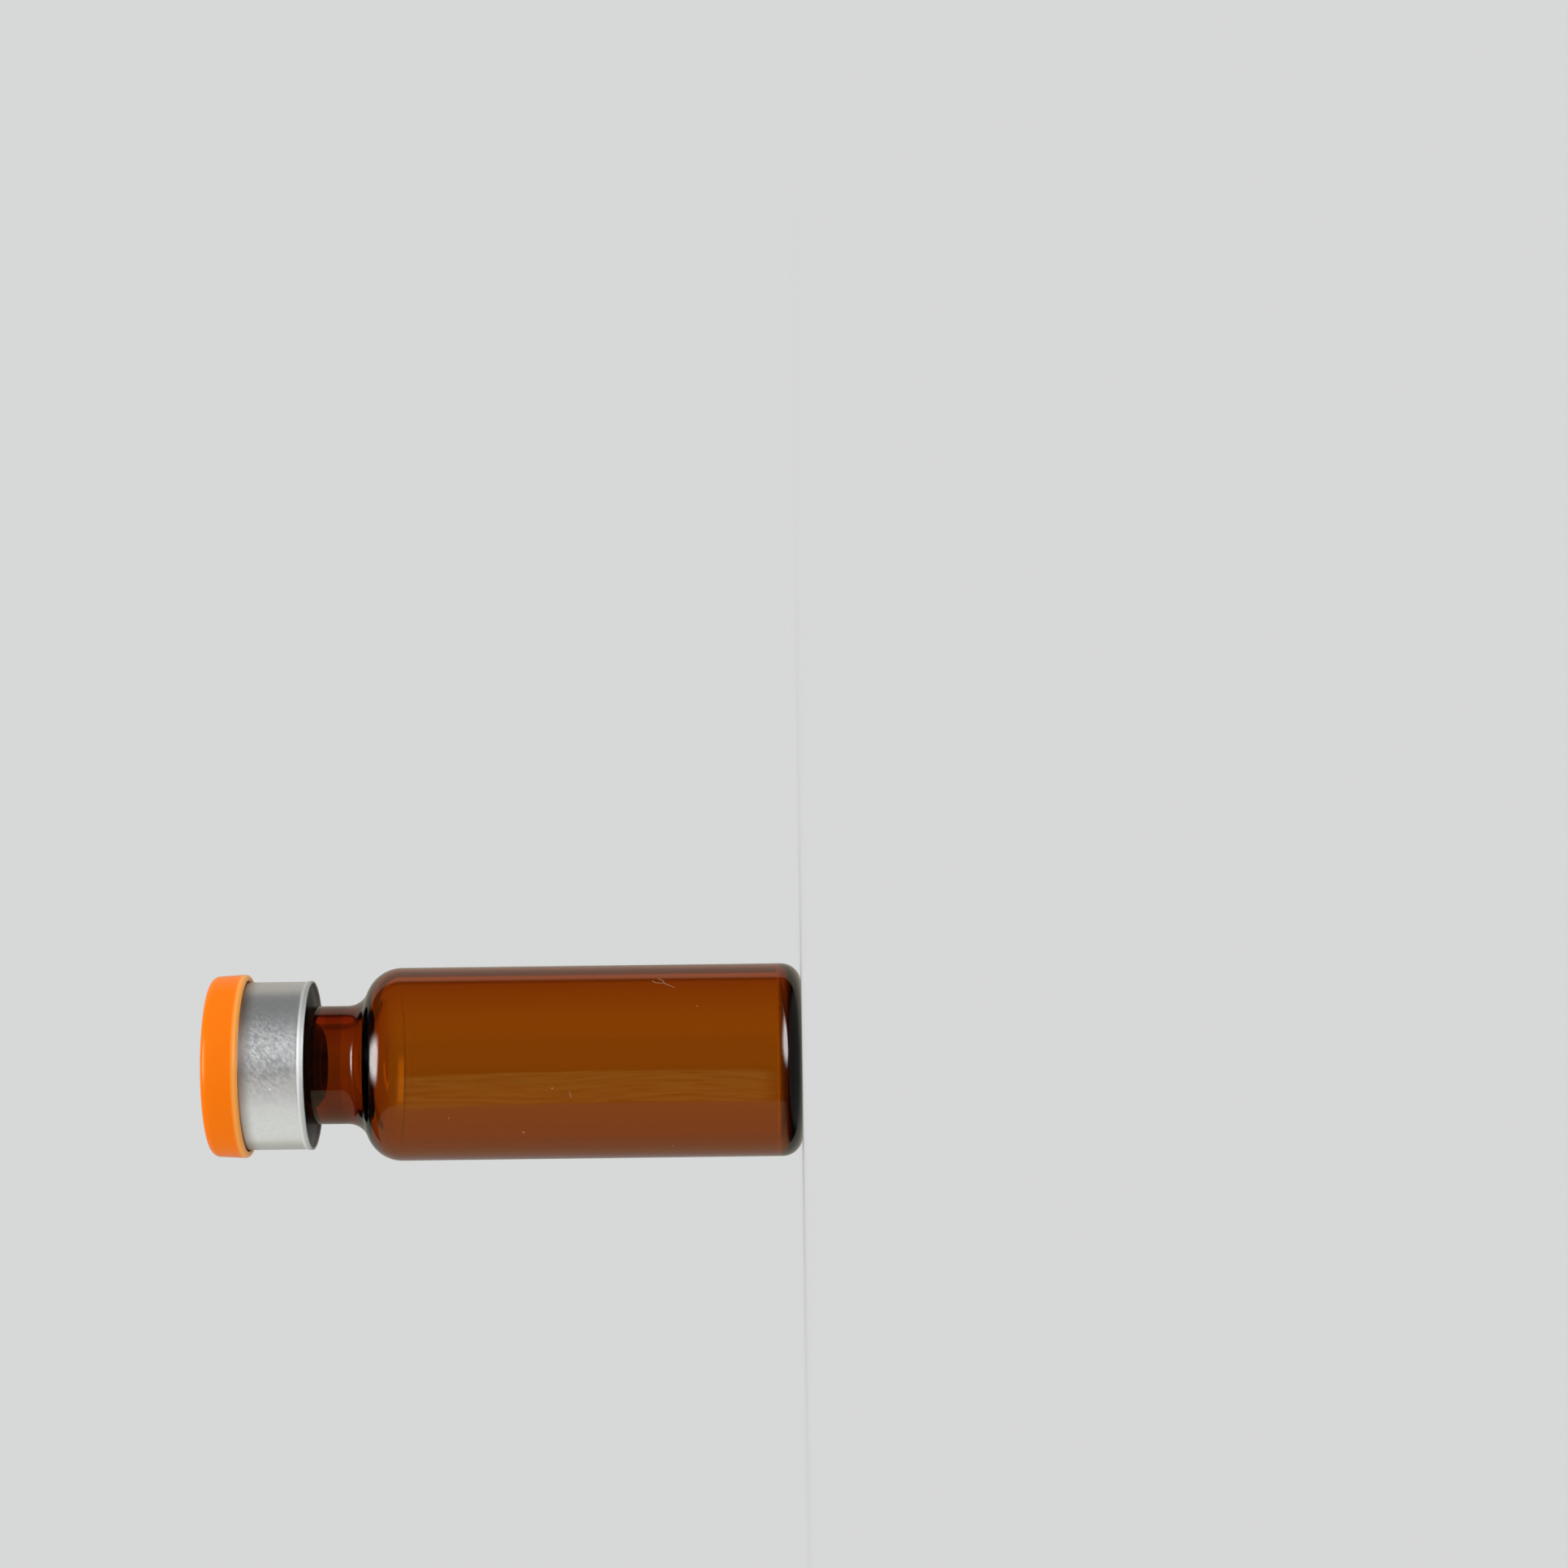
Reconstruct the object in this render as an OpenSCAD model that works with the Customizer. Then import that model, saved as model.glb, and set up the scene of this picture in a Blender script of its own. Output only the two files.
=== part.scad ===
// Amber glass sample vial with a rubber stopper, a seal shell that has not been crimped and a flip-off button.
// The vial stands on its base: z = 0 is the plane it rests on and Z is its axis. Lengths are in millimetres.

/* [Vial body] */
// Height of the glass from the resting ring to the mouth
vial_h = 45; // [42:0.5:60]
// Outer diameter of the body
body_d = 16; // [14:0.5:22]
// Wall thickness of the body
body_wall = 1; // [0.7:0.05:1.3]
// Height of the shoulder, the neck and the flange together
upper_l = 11.8; // [11:0.05:14]
// Outer radius of the shoulder
shoulder_r = 3; // [2.4:0.1:3.2]
// Radius between the base and the body
heel_r = 1.7; // [1.2:0.1:2.2]
// Radius between the base and the body inside
inner_heel_r = 0.8; // [0.6:0.1:1.4]

/* [Vial base] */
// Thickness of the base at its centre
base_t = 1.2; // [0.7:0.05:1.6]
// How far the centre of the base is pushed up
push_up = 0.2; // [0.1:0.05:0.8]
// Width of the flat ring that the vial rests on
rest_ring_w = 1.2; // [0.6:0.1:2]

/* [Vial neck and flange] */
// Bore of the neck and mouth
bore_d = 7; // [6.4:0.1:7.4]
// Wall thickness of the neck
neck_wall = 1.4; // [1.1:0.05:1.8]
// Radius between the shoulder and the neck
neck_fillet_r = 1.9; // [1.4:0.1:2.4]
// Radius between the shoulder and the bore inside
inner_neck_fillet_r = 2.5; // [2:0.1:3]
// How far the flange stands out from the neck
flange_reach = 1.6; // [1.3:0.05:2]
// Height of the flange
flange_h = 3.6; // [3:0.1:4]
// How far the underside of the flange slopes up to its edge
flange_slope = 0.4; // [0.1:0.05:0.6]
// Radius on the outer edges of the flange
flange_edge_r = 0.5; // [0.2:0.05:0.8]
// Radius on the lip of the bore
lip_r = 0.35; // [0.2:0.05:0.6]

/* [Stopper] */
// Thickness of the stopper's flange
stopper_flange_h = 2; // [1.6:0.1:3]
// Gap round the stopper's flange inside the shell
stopper_gap = 0.45; // [0.2:0.05:0.8]
// Length of the plug below the mouth
plug_l = 5.3; // [4:0.1:6]
// Gap between the plug and the bore, on the radius
plug_clear = 0.04; // [0.02:0.01:0.1]
// How much narrower the plug is at its tip, on the radius
plug_taper = 0.2; // [0.05:0.05:0.4]
// Length of the tapered end of the plug
plug_taper_l = 2.6; // [1.5:0.1:3.5]
// Radius on the tip of the plug
plug_tip_r = 0.6; // [0.3:0.05:0.9]
// Diameter of the hollow in the underside of the plug
plug_hollow_d = 3.6; // [2.6:0.1:4]
// Depth of the hollow in the underside of the plug
plug_hollow_l = 3.2; // [2:0.1:4.5]
// Gap round the rivet's head in the recess of the stopper's top, on the radius
target_clear = 0.7; // [0.2:0.05:1]
// Gap under the rivet's head in that recess
target_gap = 0.25; // [0.1:0.05:0.4]
// Radius on the outer edges of the stopper
stopper_edge_r = 0.25; // [0.1:0.05:0.35]
// Radius in the corners of the stopper's recess and hollow
stopper_root_r = 0.2; // [0.1:0.05:0.3]

/* [Seal shell] */
// Gap between the glass flange and the skirt, on the radius
flange_gap = 0.25; // [0.15:0.05:0.5]
// Thickness of the aluminium sheet
sheet_t = 0.2; // [0.15:0.01:0.25]
// Length of the skirt below the underside of the glass flange
skirt_drop = 0.8; // [0.2:0.1:1.2]
// Outer radius of the bend between the top and the skirt
shell_bend_r = 0.55; // [0.4:0.05:0.8]
// Length of the smoothed edge at the open end of the skirt
rim_l = 0.6; // [0.3:0.05:0.9]
// How far the open end of the skirt flares out
rim_flare = 0.06; // [0.02:0.01:0.12]
// Diameter of the ring of slots round the tear-out centre
tear_ring_d = 8; // [7:0.1:9]
// Width of the slots round the tear-out centre
tear_slot_w = 0.3; // [0.2:0.05:0.5]
// Number of bridges that hold the tear-out centre
bridges = 3; // [2:1:5]
// Angle of the sheet left at each bridge
bridge_angle = 16; // [8:1:30]

/* [Flip-off button] */
// Thickness of the button's skirt at its lower edge
button_skirt_t = 0.55; // [0.4:0.05:1.2]
// Thickness of the button above the shell
button_top_t = 1.8; // [1.4:0.1:2.6]
// Length of the button's skirt below the top of the shell
button_skirt = 1.3; // [0.6:0.1:2]
// Draft of the button's side
button_draft = 3; // [0:0.5:4]
// Radius on the top edge of the button
button_edge_r = 0.75; // [0.5:0.05:1.2]
// Radius on the lower edge of the button
button_lip_r = 0.2; // [0.1:0.05:0.25]
// Gap between the button's skirt and the shell, on the radius
button_clear = 0.1; // [0.05:0.05:0.3]
// Diameter of the button's rivet
rivet_d = 2.2; // [1.8:0.1:2.8]
// Gap round the rivet in the shell, on the radius
rivet_clear = 0.1; // [0.05:0.05:0.3]
// How far the rivet's head reaches past the rivet, on the radius
rivet_head_w = 0.7; // [0.4:0.1:0.9]
// Height of the rivet's head
rivet_head_h = 0.35; // [0.25:0.05:0.45]

/* [Hidden] */

// Drawn facets of a full turn, and points along a rounded corner
$fn = 128;
corner_steps = 8;
// Points nearer to each other than this are one point
same_point = 0.0001;

body_r = body_d / 2;
inner_r = body_r - body_wall;
bore_r = bore_d / 2;
neck_r = bore_r + neck_wall;
flange_r = neck_r + flange_reach;
flange_z = vial_h - flange_h;
shoulder_z = vial_h - upper_l;
// The dome under the base, as part of a sphere
ring_r = body_r - heel_r - rest_ring_w;
dome_r = (ring_r * ring_r + push_up * push_up) / (2 * push_up);
dome_z = push_up - dome_r;

stopper_top_z = vial_h + stopper_flange_h;
shell_inner_r = flange_r + flange_gap;
shell_r = shell_inner_r + sheet_t;
stopper_r = shell_inner_r - stopper_gap;
plug_r = bore_r - plug_clear;
plug_tip_z = vial_h - plug_l;
shell_top_z = stopper_top_z + sheet_t;
rim_z = flange_z - skirt_drop;
// A slot's corners are cut this far past the faces of the sheet
cut_past = 0.1;

button_top_z = shell_top_z + button_top_t;
button_rim_z = shell_top_z - button_skirt;
button_inner_r = shell_r + button_clear;
button_r = button_inner_r + button_skirt_t;
rivet_r = rivet_d / 2;
rivet_head_r = rivet_r + rivet_head_w;
rivet_head_z = stopper_top_z - rivet_head_h;
// The recess that the rivet's head lies in
target_r = rivet_head_r + target_clear;
target_z = rivet_head_z - target_gap;

// Points along an arc, from angle a to angle b
function arc(centre, r, a, b, steps = corner_steps) =
    [for (i = [0:steps]) let (t = a + (b - a) * i / steps) centre + r * [cos(t), sin(t)]];

// The points without those that repeat the one before
function distinct(points) =
    [for (i = [0:len(points) - 1]) if (i == 0 || norm(points[i] - points[i - 1]) > same_point) points[i]];

// The smooth way from a wall of radius wall_r, over a shoulder of radius convex_r, to a neck of radius narrow_r
function shoulder_curve(wall_r, convex_r, narrow_r, concave_r) =
    let (
        turn = [wall_r - convex_r, shoulder_z],
        apart = [narrow_r + concave_r - turn.x, 0],
        rise = sqrt(pow(convex_r + concave_r, 2) - pow(apart.x, 2)),
        meet = atan2(rise, apart.x)
    )
    concat(
        arc(turn, convex_r, 0, meet, 2 * corner_steps),
        arc(turn + apart + [0, rise], concave_r, meet + 180, 180)
    );

function reversed(points) = [for (i = [len(points) - 1:-1:0]) points[i]];

// Base and heel, from the axis out to the body
function glass_foot() =
    concat(
        arc([0, dome_z], dome_r, 90, acos(ring_r / dome_r)),
        arc([body_r - heel_r, heel_r], heel_r, -90, 0)
    );

// Flange, from the neck up and over to the bore
function glass_flange() =
    let (under_z = flange_z + flange_slope + flange_edge_r)
    concat(
        [[neck_r, flange_z - flange_edge_r]],
        arc([neck_r + flange_edge_r, flange_z - flange_edge_r], flange_edge_r, 180, 90),
        arc([flange_r - flange_edge_r, under_z], flange_edge_r, -90, 0),
        arc([flange_r - flange_edge_r, vial_h - flange_edge_r], flange_edge_r, 0, 90),
        arc([bore_r + lip_r, vial_h - lip_r], lip_r, 90, 180)
    );

// Floor of the inside, from its corner in to the axis
function glass_floor() =
    let (
        reach = dome_r + base_t + inner_heel_r,
        corner = [inner_r - inner_heel_r, dome_z + sqrt(pow(reach, 2) - pow(inner_r - inner_heel_r, 2))],
        lean = acos((inner_r - inner_heel_r) / reach)
    )
    concat(
        arc(corner, inner_heel_r, 360, 180 + lean),
        arc([0, dome_z], dome_r + base_t, lean, 90)
    );

module glass_vial() {
    outline = concat(
        glass_foot(),
        shoulder_curve(body_r, shoulder_r, neck_r, neck_fillet_r),
        glass_flange(),
        reversed(shoulder_curve(inner_r, shoulder_r - body_wall, bore_r, inner_neck_fillet_r)),
        glass_floor()
    );
    color([0.48, 0.22, 0.02])
        rotate_extrude()
            polygon(distinct(outline));
}

module rubber_stopper() {
    tip_r = plug_r - plug_taper;
    hollow_r = plug_hollow_d / 2;
    hollow_z = plug_tip_z + plug_hollow_l;
    outline = concat(
        [[0, hollow_z]],
        arc([hollow_r - stopper_root_r, hollow_z - stopper_root_r], stopper_root_r, 90, 0),
        arc([hollow_r + stopper_edge_r, plug_tip_z + stopper_edge_r], stopper_edge_r, 180, 270),
        arc([tip_r - plug_tip_r, plug_tip_z + plug_tip_r], plug_tip_r, -90, 0),
        [[plug_r, plug_tip_z + plug_taper_l]],
        [[plug_r, vial_h]],
        arc([stopper_r - stopper_edge_r, vial_h + stopper_edge_r], stopper_edge_r, -90, 0),
        arc([stopper_r - stopper_edge_r, stopper_top_z - stopper_edge_r], stopper_edge_r, 0, 90),
        [[target_r, stopper_top_z]],
        arc([target_r - stopper_root_r, target_z + stopper_root_r], stopper_root_r, 0, -90),
        [[0, target_z]]
    );
    color([0.16, 0.16, 0.17])
        rotate_extrude()
            polygon(distinct(outline));
}

// The slots between the bridges, through the top of the shell
module tear_slots() {
    step = 360 / bridges;
    for (i = [0:bridges - 1])
        rotate([0, 0, i * step + bridge_angle / 2])
            rotate_extrude(angle = step - bridge_angle)
                translate([tear_ring_d / 2 - tear_slot_w / 2, stopper_top_z - cut_past])
                    square([tear_slot_w, sheet_t + 2 * cut_past]);
}

module aluminium_shell() {
    inner_bend_r = shell_bend_r - sheet_t;
    lip = sheet_t / 2;
    outline = concat(
        [[rivet_r + rivet_clear, stopper_top_z]],
        arc([shell_inner_r - inner_bend_r, stopper_top_z - inner_bend_r], inner_bend_r, 90, 0),
        [[shell_inner_r, rim_z + rim_l]],
        arc([shell_inner_r + rim_flare + lip, rim_z + lip], lip, 180, 360),
        [[shell_r, rim_z + rim_l]],
        arc([shell_r - shell_bend_r, shell_top_z - shell_bend_r], shell_bend_r, 0, 90),
        [[rivet_r + rivet_clear, shell_top_z]]
    );
    color([0.78, 0.79, 0.8])
        difference() {
            rotate_extrude()
                polygon(distinct(outline));
            tear_slots();
        }
}

module flip_off_button() {
    // The side narrows by its draft up to the top edge
    side_h = button_top_z - button_edge_r - button_rim_z - button_lip_r;
    upper_r = button_r - side_h * tan(button_draft);
    outline = concat(
        [[0, rivet_head_z]],
        [[rivet_r + rivet_head_w / 2, rivet_head_z]],
        [[rivet_head_r, stopper_top_z]],
        [[rivet_r, stopper_top_z]],
        [[rivet_r, shell_top_z]],
        [[button_inner_r, shell_top_z]],
        arc([button_inner_r + button_lip_r, button_rim_z + button_lip_r], button_lip_r, 180, 270),
        arc([button_r - button_lip_r, button_rim_z + button_lip_r], button_lip_r, -90, 0),
        arc([upper_r - button_edge_r, button_top_z - button_edge_r], button_edge_r, 0, 90),
        [[0, button_top_z]]
    );
    color([0.98, 0.45, 0.05])
        rotate_extrude()
            polygon(distinct(outline));
}

glass_vial();
rubber_stopper();
aluminium_shell();
flip_off_button();
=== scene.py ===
import math

import bpy
from mathutils import Matrix, Vector


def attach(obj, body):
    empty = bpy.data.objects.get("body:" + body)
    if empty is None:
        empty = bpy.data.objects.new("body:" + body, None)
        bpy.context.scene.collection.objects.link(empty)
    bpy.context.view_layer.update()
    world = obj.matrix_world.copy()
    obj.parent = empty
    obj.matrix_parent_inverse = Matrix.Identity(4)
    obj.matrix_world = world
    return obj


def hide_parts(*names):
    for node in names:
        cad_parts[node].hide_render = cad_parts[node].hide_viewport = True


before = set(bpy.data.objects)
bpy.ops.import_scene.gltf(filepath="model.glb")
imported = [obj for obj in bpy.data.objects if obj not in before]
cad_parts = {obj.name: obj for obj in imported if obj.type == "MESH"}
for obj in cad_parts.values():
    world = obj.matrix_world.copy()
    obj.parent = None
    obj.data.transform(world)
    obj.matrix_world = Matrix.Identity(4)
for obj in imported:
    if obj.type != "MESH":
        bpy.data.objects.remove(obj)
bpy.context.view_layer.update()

# Lengths are in metres. MM turns the sizes below, which are written in millimetres, into metres.
MM = 0.001

# Camera, as the photograph was taken: square to the vial's axis, with the cap at the left of the picture
PHOTO_W = 1932
FOCAL_PX = 4431
SENSOR_MM = 36
CAMERA_AT = Vector((22.91, -299.2, 1.21)) * MM
CAMERA_ROLL = math.radians(-0.723)
CLIP_NEAR = 0.001
CLIP_FAR = 10

# Glass
VIAL_H = 45 * MM
BODY_R = 8 * MM
BODY_WALL = 1 * MM
UPPER_L = 11.8 * MM
SHOULDER_R = 3 * MM
HEEL_R = 1.7 * MM
INNER_HEEL_R = 0.8 * MM
BASE_T = 1.2 * MM
PUSH_UP = 0.2 * MM
REST_RING_W = 1.2 * MM
BORE_R = 3.5 * MM
NECK_WALL = 1.4 * MM
NECK_FILLET_R = 1.9 * MM
INNER_NECK_FILLET_R = 2.5 * MM
FLANGE_REACH = 1.6 * MM
FLANGE_H = 3.6 * MM
FLANGE_SLOPE = 0.4 * MM
FLANGE_EDGE_R = 0.5 * MM
LIP_R = 0.35 * MM

# Stopper
STOPPER_FLANGE_H = 2 * MM
STOPPER_GAP = 0.45 * MM
PLUG_L = 5.3 * MM
PLUG_CLEAR = 0.04 * MM
PLUG_TAPER = 0.2 * MM
PLUG_TAPER_L = 2.6 * MM
PLUG_TIP_R = 0.6 * MM
PLUG_HOLLOW_R = 1.8 * MM
PLUG_HOLLOW_L = 3.2 * MM
TARGET_CLEAR = 0.7 * MM
TARGET_GAP = 0.25 * MM
STOPPER_EDGE_R = 0.25 * MM
STOPPER_ROOT_R = 0.2 * MM

# Shell
FLANGE_GAP = 0.25 * MM
SHEET_T = 0.2 * MM
SKIRT_DROP = 0.8 * MM
SHELL_BEND_R = 0.55 * MM
RIM_L = 0.6 * MM
RIM_FLARE = 0.06 * MM
RIM_BEND = 0.25 * MM
TEAR_RING_R = 4 * MM
TEAR_SLOT_W = 0.3 * MM
BRIDGES = 3
BRIDGE_ANGLE = 16

# Button
BUTTON_SKIRT_T = 0.55 * MM
BUTTON_TOP_T = 1.8 * MM
BUTTON_SKIRT = 1.3 * MM
BUTTON_DRAFT = math.radians(3)
BUTTON_EDGE_R = 0.75 * MM
BUTTON_LIP_R = 0.2 * MM
BUTTON_OUTER_LIP_R = 0.34 * MM
BUTTON_CLEAR = 0.1 * MM
RIVET_R = 1.1 * MM
RIVET_CLEAR = 0.1 * MM
RIVET_HEAD_W = 0.7 * MM
RIVET_HEAD_H = 0.35 * MM

INNER_R = BODY_R - BODY_WALL
NECK_R = BORE_R + NECK_WALL
FLANGE_R = NECK_R + FLANGE_REACH
FLANGE_Z = VIAL_H - FLANGE_H
SHOULDER_Z = VIAL_H - UPPER_L
RING_R = BODY_R - HEEL_R - REST_RING_W
DOME_R = (RING_R**2 + PUSH_UP**2) / (2 * PUSH_UP)
DOME_Z = PUSH_UP - DOME_R
STOPPER_TOP_Z = VIAL_H + STOPPER_FLANGE_H
SHELL_INNER_R = FLANGE_R + FLANGE_GAP
SHELL_R = SHELL_INNER_R + SHEET_T
STOPPER_R = SHELL_INNER_R - STOPPER_GAP
SHELL_TOP_Z = STOPPER_TOP_Z + SHEET_T
RIM_Z = FLANGE_Z - SKIRT_DROP
RIM_TOP_Z = RIM_Z + RIM_L
BUTTON_TOP_Z = SHELL_TOP_Z + BUTTON_TOP_T
BUTTON_RIM_Z = SHELL_TOP_Z - BUTTON_SKIRT
BUTTON_INNER_R = SHELL_R + BUTTON_CLEAR
BUTTON_R = BUTTON_INNER_R + BUTTON_SKIRT_T
RIVET_HEAD_R = RIVET_R + RIVET_HEAD_W
RIVET_HEAD_Z = STOPPER_TOP_Z - RIVET_HEAD_H
TARGET_R = RIVET_HEAD_R + TARGET_CLEAR
TARGET_Z = RIVET_HEAD_Z - TARGET_GAP

# Colours
WHITE = (1, 1, 1, 1)
BLACK = (0, 0, 0, 1)
# Each colour is weakened by the density times one minus its share here
AMBER = (0.866, 0.645, 0.0, 1)
AMBER_DENSITY = 3400
SHEET = (0.8, 0.81, 0.82, 1)
SHEET_DARK = (0.58, 0.6, 0.62, 1)
SHEET_PALE = (0.78, 0.79, 0.785, 1)
SHEET_SCRATCH = (0.95, 0.95, 0.95, 1)
# Painted highlight: the rim's band is paler than the rest of the sheet. Its extra roughness is not
# painted
SHEET_RIM_HIGHLIGHT = (0.84, 0.85, 0.845, 1)
# Painted dark reflection: the sheet's cut edge at the rim is darker
SHEET_CUT_DARK_REFLECTION = (0.6, 0.61, 0.61, 1)
# Painted shade: a darker band on the shell just below the button's lip, where the lip shades it
PAINTED_SHADE = (0.4, 0.36, 0.33, 1)
ORANGE = (1.0, 0.19, 0.001, 1)
ORANGE_DARK = (0.99, 0.19, 0.0, 1)
ORANGE_PALE = (1.0, 0.205, 0.0, 1)
# Painted highlight: the paler orange of the button's lip
ORANGE_LIP_HIGHLIGHT = (1.0, 0.4, 0.08, 1)
RUBBER = (0.03, 0.03, 0.033, 1)
BROWN_DUST = ((0.3, 0.19, 0.11, 1), (0.5, 0.36, 0.24, 1))
WHITE_DUST = ((0.8, 0.8, 0.79, 1), (0.92, 0.92, 0.9, 1))

# Heights between which a tone changes over: at the rim's band and its painted highlight, at its cut edge
# and its painted dark reflection, at the painted shade below the button's lip, and at the lip's painted
# highlight
RIM_BAND = (RIM_TOP_Z - 0.15 * MM, RIM_TOP_Z + 0.05 * MM)
CUT_REFLECTION_BAND = (RIM_Z + 0.28 * MM, RIM_Z + 0.4 * MM)
PAINTED_SHADE_BAND = (BUTTON_RIM_Z - 1.1 * MM, BUTTON_RIM_Z - 0.05 * MM)
LIP_HIGHLIGHT_BAND = (BUTTON_RIM_Z + 0.25 * MM, BUTTON_RIM_Z + 0.65 * MM)

# The middle of the most worn patch of the shell, and the distances from it over which the wear ends
WORN_AT = Vector((1.5, -6.7, 44)) * MM
WEAR_ENDS = (2 * MM, 4.5 * MM)
# The sheet's roughness and how much rougher the rim is, and the mottling: its range, how deep it is
# away from the worn patch and in it, and how deep the scratches are. Both run aslant.
SHEET_ROUGH = (0.32, 0.38)
RIM_ROUGHER = 0.3
MOTTLE_SWING = (-0.5, 0.5)
MOTTLE_DEPTH = (0.3, 1.15)
SCRATCH_DEPTH = 0.8
SCRATCH_TURN = (0, math.radians(40), 0)

# Dust on the front of the glass and of the shell. Each grain has its height, its sideways place and
# half its size, in millimetres.
GLASS_GRAINS = [
    (22.8, -5.2, 0.08),
    (10.7, -6.6, 0.05),
    (8.5, 4.9, 0.05),
    (28.8, -3.9, 0.045),
    (20.3, -1.5, 0.06),
]
SHELL_GRAINS = [(43.3, -1.4, 0.09)]
# How far a grain's middle stands out, how thick it is and how uneven, as shares of half its size
GRAIN_OUT = 0.2
GRAIN_THICK = 0.6
GRAIN_UNEVEN = 0.22
# Lint on the front of the glass: each strand's bends, as height and sideways place in millimetres
HAIR = [(12.25, 6.92), (12.0, 6.75), (11.6, 6.7), (11.3, 6.72), (11.0, 6.6), (10.35, 6.35)]
LOOP = [(11.8, 7.05), (11.45, 6.95), (11.2, 6.75)]
FIBRE = [(18.92, -1.75), (18.85, -2.05), (18.75, -2.35)]
LINT_R = 0.017 * MM
LINT_OUT = 0.6 * LINT_R

# Stage
PALE = (0.68, 0.69, 0.685, 1)
FLOOR_SIZE = 1.9
# The even light's strength, and how much stronger it is at +X than in the middle
LIGHT = 1.2
SLANT = 0.38
# The card's strength, size, place and colour
CARD = 0.5
CARD_LONG = 150 * MM
CARD_WIDE = 26 * MM
CARD_AT = Vector((-25, -66, 48)) * MM
CARD_COLOUR = (0.97, 0.97, 1.12)
# The lamps' strength, and the share of a lamp's reach that has all of it
LAMP = 12
LAMP_CORE = 0.38
# Each lamp's middle and half width along X, its angle above the front, and its low and high reach.
# One is high above the cap and shows on the shoulder. The other is low, beyond the base, and shows
# on the heel.
SHOULDER_LAMP = (0.1, 0.48, math.radians(66), 0.28, 0.64)
HEEL_LAMP = (0.4, 0.62, math.radians(-31), 0.22, 0.55)

# The world's directions below run from -1 to 1 along each axis. Each pair is the start and the end of
# a change, and where something is a band it has one pair for each side.
# What gloss shows: darkness, with paler parts below, behind and at a wall on the -X side
GLOSS_DARK = (0.02, 0.02, 0.02, 1)
GLOSS_BELOW = (0.22, 0.22, 0.21, 1)
BELOW_Z = (-0.75, -0.6)
BEHIND_LOW_X = (0.38, 0.37, 0.32, 1)
BEHIND_HIGH_X = (0.47, 0.43, 0.35, 1)
BEHIND_X = (-0.2, 0.2)
BEHIND_Y = (0.49, 0.53)
WALL = (0.4, 0.4, 0.25, 1)
WALL_X = (-0.73, -0.7)
WALL_Z = (-0.4, -0.2)
# The streaks: colour, place, how they sag and bow, how fine they are and how their brightness varies
STREAKS = (0.95, 0.74, 0.17, 1)
STREAKS_X = ((-0.73, -0.68), (-0.14, -0.08))
STREAKS_Y = (-0.2, -0.1)
STREAKS_Z = ((0.001, 0.009), (0.102, 0.112))
SAG = 16.0
SAG_AT_Z = 0.042
BOW = 0.3
BOW_FINE = 22.0
STREAKS_FINE_X = 19.0
STREAKS_FINE_Z = 55.0
STREAKS_VARY = (0.34, 1.26, 0.35, 0.65)
# What shows through the glass, from -X to +X
THROUGH_LOW_X = (0.5, 0.505, 0.5, 1)
THROUGH_HIGH_X = (0.62, 0.625, 0.62, 1)
THROUGH_X = (-0.11, 0.0)
SHADE = (0.3, 0.31, 0.3, 1)
SHADE_X = ((0.24, 0.3), (0.5, 0.62))
BRIGHT = (0.88, 0.88, 0.87, 1)
BRIGHT_X = (0.56, 0.64)
# A gap of light, which shows as a glint where the shoulder starts, and a dim band behind the neck
GAP = (0.95, 0.95, 0.9, 1)
GAP_X = ((-0.14, -0.12), (-0.08, -0.06))
GAP_Z = ((0.128, 0.133), (0.15, 0.18))
DIM = 0.24
DIM_Z = ((0.1175, 0.1195), (0.1265, 0.128))

# Points along a rounded corner and round a full turn
CORNER_STEPS = 14
TURN_STEPS = 180
# Points of a grain from top to bottom, round a grain or a strand, and between two bends of a strand
GRAIN_RINGS = 5
GRAIN_SIDES = 8
STRAND_STEPS = 5
# Points of an outline nearer to each other than this are one point
SAME_POINT = 1e-7
# A straight run longer than this gets two more points, each this far from its end
LONG_RUN = 1 * MM
END_HOLD = 0.1 * MM
# Corners sharper than this stay sharp in the shading
SHARP = math.radians(35)


def arc(centre, r, a, b, steps=CORNER_STEPS):
    """Points along an arc, from angle a to angle b in degrees."""
    turns = [math.radians(a + (b - a) * i / steps) for i in range(steps + 1)]
    return [(centre[0] + r * math.cos(t), centre[1] + r * math.sin(t)) for t in turns]


def between(start, end, share):
    """The point at a share of the way from start to end."""
    return tuple(start[k] + (end[k] - start[k]) * share for k in (0, 1))


def distinct(points):
    """The points without those that repeat the one before."""
    kept = points[:1]
    for p in points[1:]:
        if math.dist(p, kept[-1]) > SAME_POINT:
            kept.append(p)
    return kept


def held(points):
    """The points, with two more near the ends of each long run, which keep its shading straight."""
    kept = points[:1]
    for start, end in zip(points, points[1:]):
        length = math.dist(start, end)
        if length > LONG_RUN:
            kept.append(between(start, end, END_HOLD / length))
            kept.append(between(start, end, 1 - END_HOLD / length))
        kept.append(end)
    return kept


def shoulder_curve(wall_r, convex_r, narrow_r, concave_r):
    """The smooth way from a wall over a shoulder to a neck."""
    turn_r = wall_r - convex_r
    apart = narrow_r + concave_r - turn_r
    rise = math.sqrt((convex_r + concave_r) ** 2 - apart**2)
    meet = math.degrees(math.atan2(rise, apart))
    convex = arc((turn_r, SHOULDER_Z), convex_r, 0, meet, 2 * CORNER_STEPS)
    concave = arc((turn_r + apart, SHOULDER_Z + rise), concave_r, meet + 180, 180)
    return convex + concave


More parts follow.
